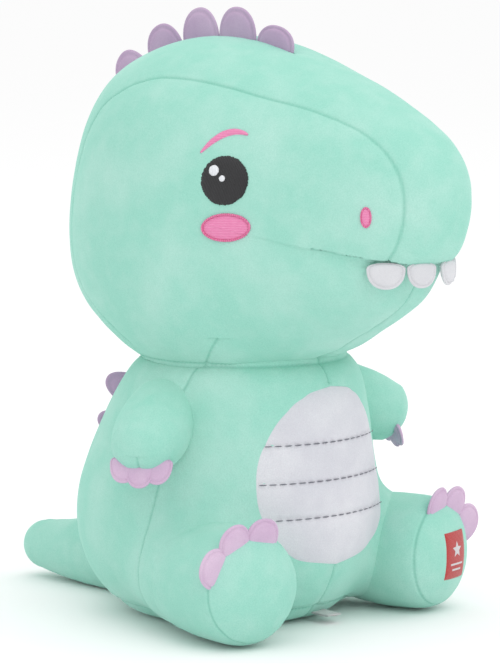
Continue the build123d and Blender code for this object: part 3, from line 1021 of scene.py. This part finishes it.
label = pad("sole_label_ribbon", leg_field, LABEL, rectangle(LABEL_WIDTH, LABEL_HEIGHT), 0.55, rings=20,
            crown=0.25, back=-0.8, near=-12, far=12)
dress(label, RED, "sole_label")
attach(label, "leg_left")


def star(points, outer, inner, centre):
    turn = np.linspace(0, 2 * pi, points * 2, endpoint=False) + pi / 2
    size = np.where(np.arange(points * 2) % 2 == 0, outer, inner)
    corners = np.stack([centre[0] + size * np.cos(turn), centre[1] + size * np.sin(turn)], -1)
    following = np.roll(corners, -1, axis=0)
    quarters = (0, 0.25, 0.5, 0.75)
    return np.concatenate([[a + (b - a) * t for t in quarters] for a, b in zip(corners, following)])


motif = pad("label_motif_star", leg_field, LABEL, star(5, 5.6, 2.6, (0, 3.2)), 1.0, rings=6, crown=0.1,
            back=0.2, near=-12, far=12)
motif.data.materials.append(PALE)
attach(motif, "leg_left")
for index, (half_width, height) in enumerate(((7.2, -5.0), (5.2, -8.2))):
    bar = pad(f"label_motif_bar_{index + 1}", leg_field, LABEL,
              rectangle(2 * half_width, 1.3, count=10, centre=(0, height)), 1.0, rings=4, crown=0.0,
              back=0.2, near=-12, far=12)
    bar.data.materials.append(PALE)
    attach(bar, "leg_left")


def care_ribbon():
    """Folded care label: a narrow loop of ribbon sewn into the base seam at the front."""
    low, high = node_box("care_label")
    half = (high[0] - low[0]) / 2
    middle = (low[0] + high[0]) / 2
    back_y, front_y = high[1], low[1] + 7
    height = (low[2] + high[2]) / 2
    path = [(back_y + 6, height + 2.4), (back_y, height + 0.9), ((back_y + front_y) / 2, height + 0.5),
            (front_y + 1.0, height + 0.2), (front_y, height - 0.3), (front_y + 1.0, height - 0.8),
            ((back_y + front_y) / 2, height - 0.7), (back_y, height - 0.2), (back_y + 6, height + 1.4)]
    path = np.array(path)
    dense = np.linspace(0, len(path) - 1, 60)
    y = np.interp(dense, range(len(path)), path[:, 0])
    z = np.interp(dense, range(len(path)), path[:, 1])
    slope = np.gradient(np.stack([y, z], -1), axis=0)
    side = np.stack([-slope[:, 1], slope[:, 0]], -1) / np.linalg.norm(slope, axis=1)[:, None]
    across = np.linspace(-half, half, 15)
    points, uv = [], []
    for offset in (0.16, -0.16):
        for k in range(60):
            for x in across:
                wave = 0.25 * sin(x * 0.5 + k * 0.1)
                points.append((middle + x, y[k] + side[k, 0] * offset, z[k] + side[k, 1] * offset + wave))
                uv.append((x, dense[k] * 3))
    layer = 60 * 15
    faces = []
    for k in range(59):
        for j in range(14):
            a = k * 15 + j
            faces.append((a, a + 1, a + 16, a + 15))
            faces.append((a + layer, a + layer + 15, a + layer + 16, a + layer + 1))
    for k in range(59):
        for j, flip in ((0, True), (14, False)):
            a, b = k * 15 + j, (k + 1) * 15 + j
            quad = (a, b, b + layer, a + layer)
            faces.append(quad[::-1] if flip else quad)
    for k in (0, 59):
        for j in range(14):
            a = k * 15 + j
            faces.append((a, a + 1, a + 1 + layer, a + layer))
    return clean(mesh_object("care_ribbon", np.array(points), faces, uv=np.array(uv)))


care = care_ribbon()
dress(care, PALE, "care_label")
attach(care, "torso")


# ------------------------------------------------------------------ floor, light and camera

def floor():
    half, drop = 30.0, 0.0005
    points = np.array([(x, y, 0.0) for x in (-half, half) for y in (-half, half)]) / MM
    item = mesh_object("studio_floor", points, [(0, 2, 3, 1)])
    material, tree, surface = shader("studio_floor")
    surface.inputs["Base Color"].default_value = (0.97, 0.97, 0.97, 1)
    surface.inputs["Roughness"].default_value = 0.8
    surface.inputs["Specular IOR Level"].default_value = 0.0
    item.data.materials.append(material)
    item.location.z = -drop


def area_light(name, position, aim, size, power):
    light = bpy.data.lights.new(name, "AREA")
    light.size = size
    light.energy = power
    item = bpy.data.objects.new(name, light)
    item.location = position
    direction = np.asarray(aim) - np.asarray(position)
    item.rotation_euler = Vector(direction).to_track_quat("-Z", "Y").to_euler()
    bpy.context.scene.collection.objects.link(item)


floor()
TARGET = np.array([0.0052, -0.0054, 0.1625])
area_light("overhead", (0.0, -0.1, 2.4), TARGET, 2.6, 11.0)
area_light("key", (-0.4, -1.5, 1.1), TARGET, 0.9, 4.0)

bpy.context.scene.view_settings.view_transform = "Standard"
world = bpy.data.worlds.new("studio")
world.use_nodes = True
backdrop = world.node_tree.nodes["Background"]
backdrop.inputs["Color"].default_value = (1.0, 1.0, 1.0, 1)
backdrop.inputs["Strength"].default_value = 1.0
bpy.context.scene.world = world

AZIMUTH, ELEVATION, DISTANCE = radians(-46), radians(7), 2.3
TALL = 664 * 0.5776 * MM
camera_data = bpy.data.cameras.new("camera")
camera_data.sensor_fit = "VERTICAL"
camera_data.sensor_height = 24.0
camera_data.lens = 24.0 * DISTANCE / TALL
camera = bpy.data.objects.new("camera", camera_data)
toward = np.array([sin(AZIMUTH) * cos(ELEVATION), -cos(AZIMUTH) * cos(ELEVATION), sin(ELEVATION)])
camera.location = TARGET + toward * DISTANCE
camera.rotation_euler = (pi / 2 - ELEVATION, 0, AZIMUTH)
bpy.context.scene.collection.objects.link(camera)
bpy.context.scene.camera = camera
